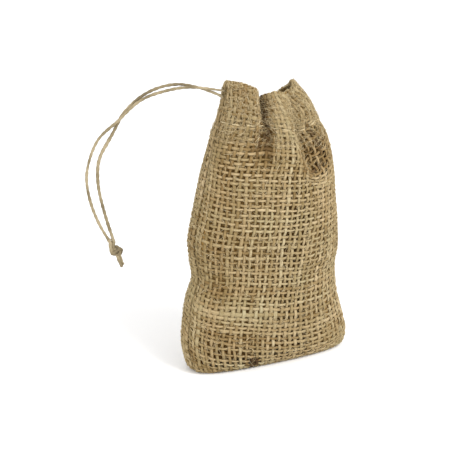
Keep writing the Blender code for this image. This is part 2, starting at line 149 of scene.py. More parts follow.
# How the threads lie at each height: where round the face those at five shares of the cloth lie,
# the space between rows, how far rows fall to the right, and how far they rise at the left seam
LAY_SHARES = (0.17, 0.37, 0.485, 0.605, 0.80)
Lay = namedtuple("Lay", "height at_17 at_37 at_48 at_60 at_80 gap fall lift")
LAY = table(
    Lay,
    (0, 0.125, 0.32, 0.43, 0.56, 0.785, 2.15, 8, 0),
    (6, 0.125, 0.32, 0.43, 0.56, 0.785, 2.15, 13.5, 0),
    (11, 0.13, 0.328, 0.433, 0.56, 0.785, 2.05, 15, 0),
    (16, 0.136, 0.335, 0.437, 0.56, 0.785, 1.95, 10, 0),
    (21, 0.142, 0.341, 0.444, 0.565, 0.785, 1.98, 6, 0),
    (25, 0.145, 0.345, 0.45, 0.57, 0.785, 2.75, 3.2, 0),
    (29, 0.145, 0.348, 0.453, 0.573, 0.785, 2.12, 1.5, 0),
    (33, 0.145, 0.35, 0.456, 0.576, 0.786, 2.12, 0, 0),
    (41, 0.148, 0.354, 0.464, 0.585, 0.79, 2.15, 0, 0.2),
    (50, 0.16, 0.363, 0.475, 0.595, 0.796, 2.5, 0, 0.9),
    (59, 0.168, 0.369, 0.484, 0.605, 0.8, 2.36, 0, 1.3),
    (67, 0.168, 0.37, 0.488, 0.612, 0.805, 2.12, 0, 1.4),
    (75, 0.164, 0.372, 0.491, 0.62, 0.81, 2.06, 0, 1.4),
    (83, 0.162, 0.382, 0.502, 0.622, 0.82, 2.06, 0, 1.2),
    (93, 0.176, 0.412, 0.536, 0.642, 0.85, 2.04, 0, 0.6),
    (103, 0.195, 0.425, 0.552, 0.664, 0.862, 2.08, 0, 0),
    (112, 0.21, 0.428, 0.56, 0.684, 0.86, 2.1, 0, 0),
    (121, 0.212, 0.428, 0.56, 0.684, 0.86, 2.1, 0, 0),
)
FALL_MIDDLE, FALL_REACH = 0.40, 0.25  # shares of the face over which a falling row turns level
LIFT_REACH = 0.14

# ---- camera, as in the photo

AZIMUTH, ELEVATION, DISTANCE = -27.0, 21.0, 0.700
TARGET = (0.0, 0.0, 0.060)
LENS = 135.9
AIM_LEFT, AIM_DOWN = 0.0140, 0.0034


def put(name, data):
    """An object in the scene with its data."""
    item = bpy.data.objects.new(name, data)
    bpy.context.scene.collection.objects.link(item)
    return item


def looking(place, aim):
    """The turn of a camera or lamp at a place that looks at another."""
    return (aim - place).to_track_quat("-Z", "Y").to_euler()


def make_camera():
    """The camera at the photo's angle, turned so that the sack lies right of the middle."""
    turn, rise = math.radians(AZIMUTH), math.radians(ELEVATION)
    back = Vector(
        (math.sin(turn) * math.cos(rise), -math.cos(turn) * math.cos(rise), math.sin(rise))
    )
    right = Vector((math.cos(turn), math.sin(turn), 0.0))
    above = back.cross(right)
    place = Vector(TARGET) + back * DISTANCE
    aim = Vector(TARGET) - right * AIM_LEFT - above * AIM_DOWN
    data = bpy.data.cameras.new("camera")
    data.lens = LENS
    data.sensor_width = 36.0
    data.clip_start, data.clip_end = 0.05, 20.0
    camera = put("camera", data)
    camera.location = place
    camera.rotation_euler = looking(place, aim)
    bpy.context.scene.camera = camera


make_camera()


def blend(low, high, value):
    """0 up to low, 1 from high on, and an even curve between them."""
    share = np.clip((value - low) / (high - low), 0.0, 1.0)
    return share * share * (3.0 - 2.0 * share)


def bell(x):
    """1 at 0, and an even fall to both sides."""
    return np.exp(-(x**2))


def curve(places, values, wanted):
    """The smooth curve through values at places, at the wanted places."""
    slopes = np.gradient(values, places)
    k = np.clip(np.searchsorted(places, wanted) - 1, 0, len(places) - 2)
    span = places[k + 1] - places[k]
    t = (wanted - places[k]) / span
    start = values[k] * (1.0 + 2.0 * t) * (1.0 - t) ** 2 + slopes[k] * span * t * (1.0 - t) ** 2
    end = values[k + 1] * t * t * (3.0 - 2.0 * t) + slopes[k + 1] * span * t * t * (t - 1.0)
    return start + end


def read(rows, column, height):
    """A column of a table at a height, on the smooth curve through its rows."""
    heights, values = np.array([(row.height, getattr(row, column)) for row in rows]).T
    return curve(heights, values, height)


def turn_between(ways, way):
    """The angle from way to each of ways, from -180 to 180 degrees."""
    return (ways - way + 180.0) % 360.0 - 180.0


def fold_depth(fold, height):
    """How deep a fold is at a height."""
    if height >= STITCH_HEIGHT:
        share = (height - STITCH_HEIGHT) / (SACK_HEIGHT - STITCH_HEIGHT)
        return fold.stitch_depth + (fold.rim_depth - fold.stitch_depth) * share
    return fold.stitch_depth * blend(fold.foot_height, STITCH_HEIGHT, height)


def fold_way(fold, height):
    """The direction that a fold lies in at a height."""
    share = (height - fold.foot_height) / (SACK_HEIGHT - fold.foot_height)
    return fold.foot_way + (fold.rim_way - fold.foot_way) * min(max(share, 0.0), 1.0)


def seam_way(height):
    """The direction of the left side seam at a height."""
    return SEAM_TURN * (1.0 - blend(SEAM_TURN_TOP, STITCH_HEIGHT, height))


def crease_depth(crease, ways, height, away):
    """How deep a crease is in each direction at a height, by the nearest place along it."""
    deepest = np.zeros(len(ways))
    for start, end in zip(crease, crease[1:]):
        x, y = np.radians(turn_between(ways, start.way)) * away, height - start.height
        run_x, run_y = math.radians(end.way - start.way) * away, end.height - start.height
        share = np.clip((x * run_x + y * run_y) / (run_x**2 + run_y**2), 0.0, 1.0)
        gap = np.hypot(x - share * run_x, y - share * run_y)
        half_width = start.half_width + (end.half_width - start.half_width) * share
        depth = start.depth + (end.depth - start.depth) * share
        depth = depth * bell(gap / half_width)
        deepest = np.where(np.abs(depth) > np.abs(deepest), depth, deepest)
    return deepest


def distances(ways, height):
    """How far the outer face stands from the middle line in each direction at a height."""
    radians = np.radians(ways)
    power = read(LEVELS, "bluntness", height)
    across = (np.abs(np.cos(radians)) / read(LEVELS, "half_width", height)) ** power
    deep = (np.abs(np.sin(radians)) / read(LEVELS, "half_depth", height)) ** power
    away = (across + deep) ** (-1.0 / power)
    for fold in FOLDS:
        turn = turn_between(ways, fold_way(fold, height))
        away -= fold_depth(fold, height) * bell(turn / fold.half_angle)
    for dent in DENTS:
        turn = turn_between(ways, dent.way) / dent.half_angle
        rise = (height - dent.height) / dent.half_height
        away -= dent.depth * np.exp(-(turn**2) - rise**2)
    for crease in CREASES:
        away = away - crease_depth(crease, ways, height, away)
    slit = SLIT_DEPTH * math.exp(-(((height - SLIT_HEIGHT) / SLIT_HALF_HEIGHT) ** 4))
    for way in (seam_way(height), seam_way(height) + 180.0):
        sideways = np.radians(turn_between(ways, way)) * away
        away -= SEAM_DEPTH * bell(sideways / SEAM_HALF_WIDTH)
    sideways = np.radians(turn_between(ways, 0.0)) * away
    return away - slit * bell(sideways / SLIT_HALF_WIDTH)


def rim_rise(ways):
    """The rim's height above or below the sack's, on the smooth curve through the table."""
    rows = [(row.way + turn, row.rise) for turn in (-360.0, 0.0, 360.0) for row in RIM]
    return curve(*np.array(rows).T, ways % 360.0)


def rises(ways, height):
    """How far the cloth stands above or below its even height in each direction."""
    at_rim = rim_rise(ways) * blend(RIM_RISE_START, SACK_HEIGHT, height)
    skewed = blend(0.0, SKEW_START, height) * (1.0 - blend(STITCH_HEIGHT, SACK_HEIGHT, height))
    return at_rim + SKEW * skewed * np.cos(np.radians(ways))


LEAN = 0.85  # of the first fold's valley to the left, as a share of its depth
LEAN_START, LEAN_FULL = 96.0, 110.0


def leaned(ways, height):
    """How far the cloth is pushed round the sack where the first fold leans under its left lobe."""
    fold = FOLDS[0]
    turn = turn_between(ways, fold_way(fold, height)) / fold.half_angle
    share = LEAN * blend(LEAN_START, LEAN_FULL, height) * fold_depth(fold, height)
    return -share * (bell(turn) - 0.5 * bell(turn / 2.0))


def face_outline(height, side):
    """Points along one face at a height, from the left seam to the right, evenly along it."""
    ways = seam_way(height) + side * np.linspace(0.0, 180.0, FINE + 1)
    away = distances(ways, height)
    push = leaned(ways, height)
    sines, cosines = np.sin(np.radians(ways)), np.cos(np.radians(ways))
    x = read(LEVELS, "centre_x", height) - away * cosines + push * sines
    y = -away * sines - push * cosines
    z = height + rises(ways, height)
    along = np.concatenate(([0.0], np.cumsum(np.hypot(np.diff(x), np.diff(y)))))
    even = np.linspace(0.0, along[-1], COLUMNS + 1)
    return np.stack([np.interp(even, along, values) for values in (x, y, z)], axis=1)


def unit(vectors):
    """The same directions at length 1."""
    return vectors / np.maximum(np.linalg.norm(vectors, axis=-1, keepdims=True), 1e-9)


def lengths_along(points):
    """How far along a line each of its points is."""
    steps = np.linalg.norm(np.diff(points, axis=0), axis=1)
    return np.concatenate(([0.0], np.cumsum(steps)))


def noise(shape, step, seed):
    """Even noise from -1 to 1 on a grid, smooth over about step points along each axis."""
    source = np.random.default_rng(seed)
    steps = (step, step) if np.isscalar(step) else step
    counts = [max(2, math.ceil(n / s) + 3) for n, s in zip(shape, steps)]
    knots = source.uniform(-1.0, 1.0, counts)
    for axis, (n, s) in enumerate(zip(shape, steps)):
        if s <= 1:
            knots = np.take(knots, np.arange(n), axis=axis)
            continue
        place = np.arange(n) / s
        k = place.astype(int)
        t = place - k
        t = t * t * (3.0 - 2.0 * t)
        t = t.reshape([-1 if a == axis else 1 for a in range(len(shape))])
        knots = np.take(knots, k, axis=axis) * (1.0 - t) + np.take(knots, k + 1, axis=axis) * t
    return knots


# Noise of an amount, smooth over the steps along each axis, or one value a row where they are 0
Ripple = namedtuple("Ripple", "amount steps seed")


def rippled(value, ripples, shape, seed):
    """A value with the noise of each of ripples added to it."""
    for ripple in ripples:
        size = shape if ripple.steps else (shape[0], 1)
        value = value + ripple.amount * noise(size, ripple.steps or 1, seed + ripple.seed)
    return value


# The pocket under the right shoulder, where the weave is turned and stretched in its own plane:
# its middle and reach in millimetres, and what each of x and y across it adds to both
POCKET_SHARE, POCKET_ALONG = 0.753, 103.7
POCKET_REACH_X, POCKET_REACH_Y = 11.2, 13.8
POCKET_X_FROM_X, POCKET_X_FROM_Y = 0.27, -0.46
POCKET_Y_FROM_X, POCKET_Y_FROM_Y = 0.47, 0.10
POCKET_WIDTH_HEIGHT = 80.0  # where the face's width is taken for it
CALM = 0.85  # how much of the threads' drift it loses

# Small unevenness of the cloth: of its whole surface, and the puckers along the stitching
SWELL, SWELL_STEPS = 0.20, (18, 22)
PUCKER, PUCKER_STEPS, PUCKER_HEIGHT, PUCKER_REACH = 0.42, (50, 7), 100.5, 6.0
PULL, PULL_REACH = 0.30, 1.6  # how far the stitching draws the cloth in
UNEVEN_LOW, UNEVEN_HIGH = (3.0, 12.0), (112.0, 119.0)  # heights where it comes in and goes out
HUE_STEPS = (26, 44)
LAY_BLUR = 21  # columns to each side that the threads' places are smoothed over
GAIN_TOP = 104.0  # up to here the cloth near the seams lies higher, as the base is narrower there
BOTTOM_TURN = 1.2  # to each side of the bottom's edge, where the cloth turns under the sack
SEAM_SUNK, SEAM_SUNK_REACH = 0.22, 1.0  # how far the cloth is drawn in beside the seams
UNDER_SUNK = 0.7  # how much deeper the cloth lies where it passes the bottom's middle line


class Face:
    """One face of the sack, front (side 1) or back (side -1), from seam to seam."""

    def __init__(self, side):
        self.side = side
        self.heights = np.arange(0.0, WALL_TOP + ROW_STEP / 2, ROW_STEP)
        self.heights[-1] = WALL_TOP
        self.points = np.array([face_outline(height, side) for height in self.heights])
        rise, across = np.gradient(self.points, axis=(0, 1))
        self.normals = unit(np.cross(across, rise)) * side
        shape = (len(self.heights), COLUMNS + 1)
        level = self.heights[:, None]
        uneven = SWELL * noise(shape, SWELL_STEPS, 30 + side)
        near = bell((level - PUCKER_HEIGHT) / PUCKER_REACH)
        uneven = uneven + PUCKER * near * noise(shape, PUCKER_STEPS, 32 + side)
        uneven = uneven - PULL * bell((level - STITCH_HEIGHT) / PULL_REACH)
        even = np.linspace(0.0, 1.0, COLUMNS + 1)
        fade = np.sin(math.pi * even) ** 0.5
        uneven = uneven * fade * blend(*UNEVEN_LOW, level) * (1.0 - blend(*UNEVEN_HIGH, level))
        self.points = self.points + self.normals * uneven[..., None]
        self.width = np.linalg.norm(np.diff(self.points, axis=1), axis=2).sum(axis=1)
        self.middle_width = self.width[len(self.width) // 2]
        self.pocket_width = np.interp(POCKET_WIDTH_HEIGHT, self.heights, self.width)
        middle = self.points[:, COLUMNS // 2]
        self.base = abs(middle[0, 1])
        self.wall = self.base + lengths_along(middle)
        self.rim = self.wall[-1] + math.pi * TURN_RADIUS
        self.length = self.rim + HEM_LENGTH
        self.marks = np.concatenate(([0.0], self.wall, [self.length]))
        gaps, self.fall, self.lift = (
            np.array([read(LAY, column, height) for height in self.heights])
            for column in ("gap", "fall", "lift")
        )
        gaps = np.concatenate(([gaps[0]], gaps, [gaps[-1]]))
        steps = np.diff(self.marks) * 2.0 / (gaps[1:] + gaps[:-1])
        self.rows = np.concatenate(([0.0], np.cumsum(steps)))
        shares = (0.0, *LAY_SHARES, 1.0)
        blur = np.hanning(2 * LAY_BLUR + 1)
        blur = blur / blur.sum()
        self.shift = []
        for height in self.heights:
            lies = [read(LAY, column, height) for column in Lay._fields[1:6]]
            moved = np.interp(even, shares, (0.0, *lies, 1.0)) - even
            moved = np.pad(moved, LAY_BLUR, mode="reflect")
            self.shift.append(np.convolve(moved, blur, mode="valid"))
        self.shift = np.array(self.shift)[..., None]
        self.hue = noise(shape, HUE_STEPS, 34 + side)[..., None]

    def sample(self, grid, share, height):
        """Values of a grid of points at shares of the width and at heights."""
        row = np.clip(height / ROW_STEP, 0.0, len(self.heights) - 1.001)
        column = np.clip(share, 0.0, 1.0) * (COLUMNS - 0.001)
        r, c = row.astype(int), column.astype(int)
        fr, fc = (row - r)[..., None], (column - c)[..., None]
        low = grid[r, c] * (1.0 - fc) + grid[r, c + 1] * fc
        high = grid[r + 1, c] * (1.0 - fc) + grid[r + 1, c + 1] * fc
        return low * (1.0 - fr) + high * fr

    def half_base(self, share):
        """How far the bottom's edge is from its middle line."""
        column = np.clip(share, 0.0, 1.0) * COLUMNS
        return np.interp(column, np.arange(COLUMNS + 1), np.abs(self.points[0, :, 1]))

    def in_pocket(self, share, along):
        """1 in the middle of the pocket and 0 outside it."""
        if self.side < 0:
            return np.zeros(np.broadcast(share, along).shape)
        x = (share - POCKET_SHARE) * self.pocket_width / POCKET_REACH_X
        y = (along - POCKET_ALONG) / POCKET_REACH_Y
        return np.exp(-((x**2 + y**2) ** 3))

    def swirled(self, share, along):
        """Places after the weave is turned and stretched about the middle of the pocket."""
        width, near = self.pocket_width, self.in_pocket(share, along)
        x, y = (share - POCKET_SHARE) * width, along - POCKET_ALONG
        across = x + near * (POCKET_X_FROM_X * x + POCKET_X_FROM_Y * y)
        rise = y + near * (POCKET_Y_FROM_X * x + POCKET_Y_FROM_Y * y)
        return POCKET_SHARE + across / width, POCKET_ALONG + rise

    def up_to(self, height):
        """How far up the cloth a height on its wall is."""
        return np.interp(height, self.heights, self.wall)

    def along_row(self, row):
        """How far up the cloth a row lies."""
        return np.interp(row, self.rows, self.marks)

    def row_at(self, along):
        """The row, in parts of a row, at a length along the cloth."""
        return np.interp(along, self.marks, self.rows)

    def laid(self, share, along):
        """Where the threads at even places of the cloth lie round the face and up it."""
        height = np.interp(along, self.wall, self.heights)
        moved = share + self.sample(self.shift, share, height)[..., 0]
        if self.side < 0:
            return moved, along
        fall = np.interp(along, (0.0, *self.wall), (0.0, *self.fall))
        lift = np.interp(along, (0.0, *self.wall), (0.0, *self.lift))
        slope = FALL_REACH * np.tanh((FALL_MIDDLE - share) / FALL_REACH)
        raised = lift * bell(share / LIFT_REACH)
        return moved, along + fall * slope + raised

    def heights_at(self, share, along):
        """Heights on the outer face, less than 0 under the bottom, by how far up the cloth."""
        even = np.interp(along, self.wall, self.heights)
        even = np.where(along < self.base, along - self.base, even)
        gained = (self.base - self.half_base(share)) * (1.0 - blend(-self.base, GAIN_TOP, even))
        return even + gained

    def place(self, share, along, out):
        """Points in the cloth and the way out of it there; out is measured from its middle."""
        share, along = self.laid(*self.swirled(share, along))
        over = along - self.wall[-1]
        turn = np.clip(over / TURN_RADIUS, 0.0, math.pi)[..., None]
        inside = np.clip(along - self.rim, 0.0, None)
        height = np.where(over > 0.0, WALL_TOP - inside, self.heights_at(share, along))
        point = self.sample(self.points, share, height)
        normal = unit(self.sample(self.normals, share, height))
        under = np.clip(-height, 0.0, None)
        half = self.half_base(share)
        point[..., 1] += self.side * np.minimum(under, half)
        point[..., 2] = np.where(height < 0.0, 0.0, point[..., 2])
        bottom = blend(-BOTTOM_TURN, BOTTOM_TURN, -height)[..., None]
        normal = unit(normal * (1.0 - bottom) - UP * bottom)
        facing = normal * np.cos(turn) + UP * np.sin(turn)
        beyond = np.clip(np.maximum(-share, share - 1.0), 0.0, None) * self.middle_width
        to_seam = np.maximum(np.minimum(share, 1.0 - share) * self.middle_width, 0.0)
        sunk = SEAM_SUNK * bell(to_seam / SEAM_SUNK_REACH)
        sunk = sunk + beyond + UNDER_SUNK * (under > half)
        point = point - normal * (LAYER_DEPTH + TURN_RADIUS + sunk[..., None])
        return point + facing * (TURN_RADIUS + np.asarray(out)[..., None]), facing


THREAD_APART, FIBRE_APART = 37.0, 3.1  # between two threads' fibre patterns, along and across


class Mesh:
    """Vertices, faces and per-vertex values gathered for one piece."""

    def __init__(self, name):
        self.name = name
        self.vertices, self.faces, self.fibres = [], [], []
        self.values = {"tone": [], "tint": []}
        self.count = 0

    def keep(self, points, quads, fibres, tone, tint, shape, sides):
        """Adds points, the faces between them and their values, one for each side of a centre."""
        self.vertices.append(points.reshape(-1, 3))
        self.faces += quads.reshape(-1, 4).tolist()
        self.fibres.append(fibres.reshape(-1, 3))
        for title, value in (("tone", tone), ("tint", tint)):
            value = np.broadcast_to(value, shape).reshape(-1)
            self.values[title].append(np.repeat(value, sides))
        self.count += len(self.vertices[-1])

    def tubes(self, centres, normals, wide, thick, tone, tint, sides=SIDES, lobes=None, number=0.0):
        """Closed tubes along rows of centres. wide and thick are half sizes at each centre."""
        rows, points = centres.shape[:2]
        ways = unit(np.gradient(centres, axis=1))
        across = unit(np.cross(ways, normals))
        rise = np.cross(across, ways)
        angles = math.tau * (np.arange(sides) + 0.5) / sides
        grow = np.ones((rows, points, sides)) if lobes is None else lobes
        reach = wide[..., None] * np.cos(angles) * grow
        lift = thick[..., None] * np.sin(angles) * grow
        ring = (
            centres[:, :, None]
            + across[:, :, None] * reach[..., None]
            + rise[:, :, None] * lift[..., None]
        )
        steps = np.linalg.norm(np.diff(centres, axis=1), axis=2)
        along = np.concatenate((np.zeros((rows, 1)), np.cumsum(steps, axis=1)), axis=1)
        fibre = np.empty((rows, points, sides, 3))
        thread = np.arange(rows)[:, None, None]
        fibre[..., 0] = along[..., None] + THREAD_APART * thread + number
        fibre[..., 1] = np.cos(angles) + FIBRE_APART * thread
        fibre[..., 2] = np.sin(angles)
        index = self.count + np.arange(rows * points * sides).reshape(rows, points, sides)
        after = np.roll(index, -1, axis=2)
        quads = np.stack((index[:, :-1], after[:, :-1], after[:, 1:], index[:, 1:]), axis=-1)
        self.keep(ring, quads, fibre, tone, tint, (rows, points), sides)
        self.faces += index[:, 0, ::-1].tolist() + index[:, -1].tolist()

    def skin(self, points, tone, tint):
        """An open skin over a grid of points."""
        rows, columns = points.shape[:2]
        index = self.count + np.arange(rows * columns).reshape(rows, columns)
        quads = np.stack((index[:-1, :-1], index[:-1, 1:], index[1:, 1:], index[1:, :-1]), axis=-1)
        self.keep(points, quads, points, tone, tint, (rows, columns), 1)

    def build(self, material):
        """The piece in the scene, riding on the sack."""
        data = bpy.data.meshes.new(self.name)
        data.from_pydata((np.concatenate(self.vertices) * MM).tolist(), [], self.faces)
        for title, values in self.values.items():
            layer = data.attributes.new(title, "FLOAT", "POINT")
            layer.data.foreach_set("value", np.concatenate(values).astype(np.float32))
        fibre = data.attributes.new("fibre", "FLOAT_VECTOR", "POINT")
        fibre.data.foreach_set("vector", np.concatenate(self.fibres).astype(np.float32).ravel())
        data.shade_smooth()
        data.materials.append(material)
        item = put(self.name, data)
        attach(item, "root")
        return item


# ---- materials

Shade = namedtuple("Shade", "tone red green blue")
TINTS = ((0, 0.98, 1.01, 0.95), (1, 1.065, 0.945, 0.83))  # from olive to pinkish
STREAKS = (0.35, 2.6, 2.6)  # how fine the fibres' pattern is along a thread and across it
BUMP_HEIGHT, SHINE = 0.12, 0.25


def make_material(name, *shades, rough, streak):
    """Jute: its shade by the mesh's tone, streaked along the fibres, with a fine bump."""
    material = bpy.data.materials.new(name)
    material.use_nodes = True
    nodes, links = material.node_tree.nodes, material.node_tree.links

    def fill(made, inputs):
        """Gives a node's inputs their values or links them to outputs."""
        for key, value in inputs.items():
            if isinstance(value, bpy.types.NodeSocket):
                links.new(value, made.inputs[key])
            else:
                made.inputs[key].default_value = value

    def node(kind, inputs, **settings):
        made = nodes.new("ShaderNode" + kind)
        for key, value in settings.items():
            setattr(made, key, value)
        fill(made, inputs)
        return made

    def ramp(factor, rows):
        made = node("ValToRGB", {"Fac": factor})
        elements = made.color_ramp.elements
        while len(elements) < len(rows):
            elements.new(0.5)
        for element, shade in zip(elements, table(Shade, *rows)):
            element.position = shade.tone
            element.color = (*shade[1:], 1.0)
        return made.outputs["Color"]

    fibre, tone, tint = (
        node("Attribute", {}, attribute_name=title).outputs for title in ("fibre", "tone", "tint")
    )
    stretch = node("Mapping", {"Vector": fibre["Vector"], "Scale": STREAKS})
    look = {"Vector": stretch.outputs["Vector"], "Scale": 2.2, "Detail": 4.0, "Roughness": 0.65}
    strands = node("TexNoise", look).outputs["Fac"]
    centred = node("Math", {0: strands, 1: 0.5}, operation="SUBTRACT")
    weighed = node("Math", {0: centred.outputs[0], 1: streak}, operation="MULTIPLY")
    summed = node("Math", {0: tone["Fac"], 1: weighed.outputs[0]}, operation="ADD")
    look = {"Factor": 1.0, "A": ramp(summed.outputs[0], shades), "B": ramp(tint["Fac"], TINTS)}
    # the colour, with the stains and painted shade that the tone and tint carry
    stains_and_painted_shade = node("Mix", look, data_type="RGBA", blend_type="MULTIPLY")
    bump = node("Bump", {"Strength": 0.5, "Distance": BUMP_HEIGHT * MM, "Height": strands})
    look = {"Base Color": stains_and_painted_shade.outputs["Result"], "Normal": bump.outputs["Normal"]}
    fill(nodes["Principled BSDF"], {**look, "Roughness": rough, "Specular IOR Level": SHINE})
    return material


JUTE = (
    (0, 0.06, 0.036, 0.014), (0.25, 0.18, 0.122, 0.046), (0.5, 0.314, 0.248, 0.136),
    (0.75, 0.424, 0.353, 0.224), (1, 0.565, 0.49, 0.34),
)
BARK = ((0, 0.09, 0.07, 0.045), (0.5, 0.245, 0.205, 0.13), (1, 0.43, 0.37, 0.265))
STRAW = ((0, 0.26, 0.185, 0.095), (0.5, 0.43, 0.34, 0.195), (1, 0.66, 0.57, 0.39))
# the nap's dark browns: painted shade for the inside of the sack, seen through the holes
PAINTED_SHADE_UMBER = ((0, 0.16, 0.09, 0.025), (0.5, 0.36, 0.22, 0.07), (1, 0.56, 0.38, 0.16))
cloth_material = make_material("woven_jute", *JUTE, rough=0.88, streak=0.9)
twine_material = make_material("jute_twine", *BARK, rough=0.8, streak=0.9)
fibre_material = make_material("loose_jute", *STRAW, rough=0.8, streak=0.5)
nap_shade_material = make_material("matted_jute_painted_shade", *PAINTED_SHADE_UMBER, rough=0.95, streak=0.8)

# ---- drawstring

Place = namedtuple("Place", "out height front")
UPPER_RUN = table(
    Place,
    (0.8, 116.9, 0), (4.9, 117.6, 0.4), (10.4, 118.4, 0.9), (16.4, 118.5, 0.9),
    (21.1, 117.7, 0.6), (26.1, 116.3, 0.3), (30.1, 114.9, 0.2), (33.6, 113.1, 0.3),
    (36.8, 110.7, 0.5), (40, 107.6, 0.8), (42.9, 104.6, 0.9), (46.1, 101.8, 0.7),
    (48.8, 99.2, 0.3), (51.1, 96.2, 0), (53.2, 91.8, 0), (54.9, 86.4, 0),
    (55.7, 81.4, 0), (55.5, 76.2, 0), (54.4, 70.4, 0), (52.7, 64.9, 0),
    (50.4, 59.5, 0.1), (47.1, 53.7, 0.4),
)
LOWER_RUN = table(
    Place,
    (1.4, 114.4, 0), (4.9, 115.9, -0.4), (10.4, 117.8, -0.9), (16.4, 119.1, -0.9),
    (20.3, 119.3, -0.6), (24.1, 118.8, -0.3), (28.1, 117.5, -0.2), (31.6, 115.7, -0.3),
    (34.8, 113.4, -0.5), (38, 110.4, -0.8), (40.8, 107.1, -0.9), (42.8, 103.6, -0.8),
    (44.7, 99.8, -0.4), (47.5, 94.9, 0), (49.5, 91.2, 0), (50.8, 87.4, 0),
    (51.3, 83.1, 0), (51.2, 78, 0), (50.5, 72.9, 0), (49.3, 67.4, 0),
    (47.7, 61, -0.1), (45.6, 53.7, -0.4),
)
KNOT_OUT, KNOT_HEIGHT = 44.8, 50.2
slit_away = distances(np.array([0.0]), SLIT_HEIGHT)[0]
SLIT = np.array([read(LEVELS, "centre_x", SLIT_HEIGHT) - slit_away, 0.0, 0.0])


def hanging_point(out, height, front):
    """A place beside the sack, in the upright plane that the drawstring hangs in."""
    turn = math.radians(DRAWSTRING_TURN)
    outward = np.array([-math.cos(turn), math.sin(turn), 0.0])
    forward = np.array([-math.sin(turn), -math.cos(turn), 0.0])
    return SLIT + outward * out + forward * front + UP * height


CURVE_PARTS = 20  # that a curve between two of its places is read in


def smooth_route(points, step):
    """Points at even steps on the smooth curve through the given ones."""
    points = [np.asarray(point, float) for point in points]
    ends = [2 * points[0] - points[1], *points, 2 * points[-1] - points[-2]]
    t = (np.arange(CURVE_PARTS) / CURVE_PARTS)[:, None]
    fine = []
    for a, b, c, d in zip(ends, ends[1:], ends[2:], ends[3:]):
        part = 2 * b + (c - a) * t + (2 * a - 5 * b + 4 * c - d) * t**2
        fine.append((part + (3 * b - a - 3 * c + d) * t**3) / 2)
    fine = np.concatenate([*fine, points[-1][None]])
    along = lengths_along(fine)
    wanted = np.linspace(0.0, along[-1], max(2, round(along[-1] / step) + 1))
    return np.stack([np.interp(wanted, along, fine[:, k]) for k in range(3)], axis=1)


TWIST = 5.2  # length of one full turn of the two plies
TWINE_SIDES = 12
PLY_HOLLOW, PLY_SWELL, PLY_FULL = 0.74, 0.30, 0.8  # shares of the radius, and how round a ply is
TWINE_WIDTHS = table(Ripple, (0.10, (1, 7), 0), (0.12, (1, 31), 2))
TWINE_TONES = table(Ripple, (0.30, (1, 9), 1))
TWINE_TONE = 0.52
THIN_REACH = 16.0  # from its start, along which a strand is thinner
ACROSS_TWINE = np.array([0.31, 0.83, 0.46])  # a direction that no strand runs in
STRAND_STEP, KNOT_STEP = 0.5, 0.4


def add_twine(mesh, route, radius, seed, phase=0.0, taper=0.0, thin=0.0):
    """A two-ply twisted strand along a route. taper and thin are shares at its end and start."""
    count, along = len(route), lengths_along(route)
    angles = math.tau * (np.arange(TWINE_SIDES) + 0.5) / TWINE_SIDES
    turned = math.tau * along / TWIST + phase
    lobes = PLY_HOLLOW + PLY_SWELL * np.abs(np.cos(angles[None] - turned[:, None])) ** PLY_FULL
    uneven = rippled(1.0, TWINE_WIDTHS, (1, count), seed)
    slim = 1.0 - taper * along / along[-1] - thin * bell(along / THIN_REACH)
    size = radius * uneven * slim
    tone = rippled(TWINE_TONE, TWINE_TONES, (1, count), seed)
    normals = np.broadcast_to(ACROSS_TWINE, (1, count, 3))
    mesh.tubes(route[None], normals, size, size, tone, 0.5, TWINE_SIDES, lobes[None], seed * 11.0)


def make_strand(name, node, places, seed, thin):
    """One hanging run of the drawstring, and its route."""
    route = smooth_route([hanging_point(*place) for place in places], STRAND_STEP)
    mesh = Mesh(name)
    add_twine(mesh, route, TWINE_DIAMETER / 2, seed, phase=seed, thin=thin)
    item = mesh.build(twine_material)
    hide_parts(node)
    return item, route


# The knot's runs, from its middle: both strands go on into it, two turns and a core fill it
KNOT_RUNS = [
    table(Place, *run)
    for run in (
        ((2.9, 4.6, 0.3), (2.2, 3.2, 0.3), (2.1, 1.4, 0.5), (1.7, -0.4, 0.9), (0.8, -1.5, 1.1),
         (-0.3, -1.6, 0.4)),
        ((1.3, 4.8, -0.3), (0.9, 3.2, -0.4), (1.1, 1.4, -0.2), (1, -0.2, 0.3), (0.6, -1.3, 0.4)),
        ((1.6, -1.5, 0.6), (0.8, -0.8, 1.5), (-0.5, 0.3, 1.7), (-1.6, 0.8, 0.9), (-2.1, 0.1, -0.1),
         (-2.1, -1.1, -0.7), (-1.3, -2.2, -1), (0.2, -1.9, -1.3), (1.4, -1.2, -1.1),
         (2, -0.8, -0.3)),
        ((0.9, 0.6, -0.9), (-0.4, 1.1, -0.4), (-1.5, 0.5, 0.4), (-1.5, -0.9, 0.9),
         (-0.7, -2, 0.6)),
        ((0.7, 0.4, 0), (0.1, -0.2, 0.1), (-0.6, -0.9, 0), (-0.9, -1.6, 0)),
    )
]
RUN_RADII = (0.72, 0.72, 0.72, 0.72, 0.95)
TAILS = (
    table(Place, (-0.4, -1.6, 0.5), (-2.3, -7.2, 0.45)),
    table(Place, (-1.2, -1.5, -0.3), (-2.8, -6.6, -0.45)),
)
TAIL_RADIUS, TAIL_TAPER, TAIL_SAG = 0.78, 0.25, 0.4


def make_knot():
    """The overhand knot at the end of both strands, with its two short tails."""
    mesh = Mesh("drawstring_overhand_knot")

    def at(place):
        return hanging_point(KNOT_OUT + place.out, KNOT_HEIGHT + place.height, place.front)

    for number, (run, radius) in enumerate(zip(KNOT_RUNS, RUN_RADII)):
        route = smooth_route([at(place) for place in run], KNOT_STEP)
        add_twine(mesh, route, radius, 40 + number, phase=number)
    for number, (start, end) in enumerate(TAILS):
        start, end = at(start), at(end)
        route = smooth_route([start, (start + end) / 2 - UP * TAIL_SAG, end], KNOT_STEP)
        add_twine(mesh, route, TAIL_RADIUS, 50 + number, taper=TAIL_TAPER)
    item = mesh.build(twine_material)
    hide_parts("drawstring_knot")
    return item


